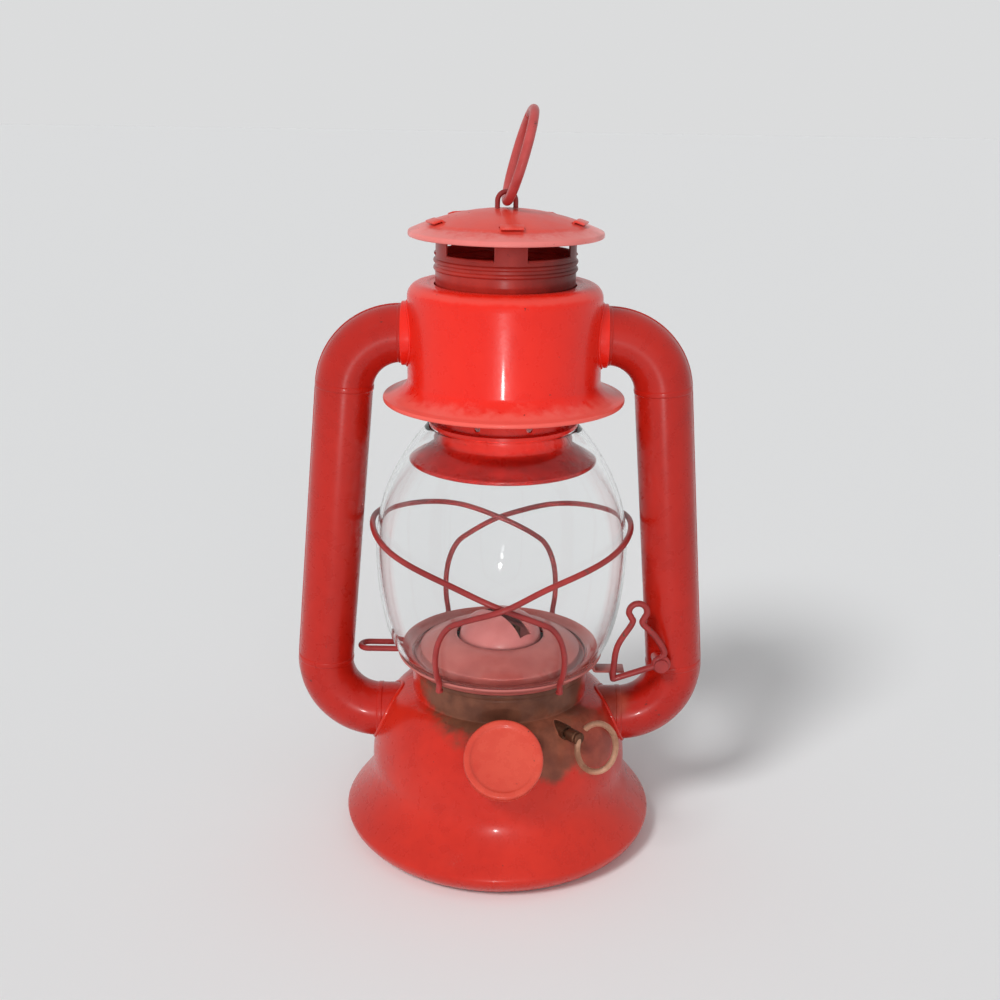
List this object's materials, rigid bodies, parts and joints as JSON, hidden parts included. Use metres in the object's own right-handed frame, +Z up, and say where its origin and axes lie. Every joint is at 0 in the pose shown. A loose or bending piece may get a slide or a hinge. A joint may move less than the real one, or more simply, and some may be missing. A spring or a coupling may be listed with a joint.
{
  "type": "kerosene lantern",
  "caption": "Red hot-blast kerosene lantern: flared fount, side air tubes, hood and vented crown, glass globe in a wire guard on a lifting plate, flat wick burner, screw filler cap.",
  "frame": {"origin": "on the lantern axis at floor level, under the foot rim", "axes": "+Z up, the filler cap faces -Y, the lift lever is on the +X side"},
  "size_m": [0.1562, 0.1208, 0.2757],
  "materials": {
    "red_paint": "glossy enamel on pressed steel",
    "wire_paint": "thin red paint on steel wire",
    "globe_glass": "clear blown glass",
    "tinned_steel": "dull tinned sheet",
    "brass": "dull",
    "steel": "bright wire",
    "cotton": "woven flat wick",
    "gasket": "matte"
  },
  "bodies": {
    "frame": {"fount_shell": "red_paint", "fount_bottom": "red_paint", "air_drum": "tinned_steel", "burner_collar": "brass", "burner_body": "brass", "wick_tube": "brass", "burner_cone": "red_paint", "spindle_sleeve": "tinned_steel", "filler_neck": "red_paint", "left_tube": "red_paint", "right_tube": "red_paint", "hood": "red_paint", "hood_collars": "red_paint", "crown_spring": "steel", "lever_bracket": "red_paint", "lever_pin": "steel"},
    "globe_carriage": {"globe_plate": "red_paint", "globe": "globe_glass", "left_guard": "wire_paint", "right_guard": "wire_paint", "plate_guide": "wire_paint", "chimney_tube": "red_paint", "globe_seat": "red_paint", "chimney_neck": "red_paint", "crown_cap": "red_paint", "ring_eye": "steel"},
    "lift_lever": {"lift_lever": "wire_paint"},
    "carry_ring": {"carry_ring": "wire_paint"},
    "wick_train": {"wick_spindle": "steel", "feed_wheels": "steel", "wick_knob": "brass"},
    "wick": {"wick": "cotton"},
    "filler_gasket": {"filler_gasket": "gasket"},
    "filler_cap": {"filler_cap": "red_paint"}
  },
  "joints": [
    {"name": "globe_lift", "type": "slide", "parent": "frame", "child": "globe_carriage", "axis": [0, 0, 1], "range_m": [0, 0.013], "stiffness_N_per_m": 100, "springref_m": -0.02, "deforming": ["crown_spring"]},
    {"name": "lever_pivot", "type": "hinge", "parent": "frame", "child": "lift_lever", "pos_m": [0.06109, -0.0132, 0.0734], "axis": [0, 1, 0], "range_deg": [0, 40.14]},
    {"name": "ring_swing", "type": "hinge", "parent": "globe_carriage", "child": "carry_ring", "pos_m": [0, 0, 0.2432], "axis": [-0.0698, 0.9976, 0], "range_deg": [-106, 74]},
    {"name": "wick_turn", "type": "hinge", "parent": "frame", "child": "wick_train", "pos_m": [0.0168, -0.02535, 0.055], "axis": [0.682, -0.7314, 0], "range_deg": [-60, 150]},
    {"name": "wick_raise", "type": "slide", "parent": "frame", "child": "wick", "axis": [0, 0, 1], "range_m": [-0.0039, 0.0096]},
    {"name": "cap_lift", "type": "slide", "parent": "frame", "child": "filler_gasket", "axis": [0.0263, -0.7542, 0.6561], "range_m": [0, 0.0076]},
    {"name": "cap_turn", "type": "hinge", "parent": "filler_gasket", "child": "filler_cap", "pos_m": [0.00159, -0.04545, 0.048], "axis": [0.0263, -0.7542, 0.6561], "range_deg": [0, 900]}
  ],
  "couplings": [
    {"joint": "lever_pivot", "follows": "globe_lift", "rad_per_m": 53.625},
    {"joint": "wick_raise", "follows": "wick_turn", "m_per_rad": 0.0036},
    {"joint": "cap_lift", "follows": "cap_turn", "m_per_rad": 0.00047746}
  ]
}
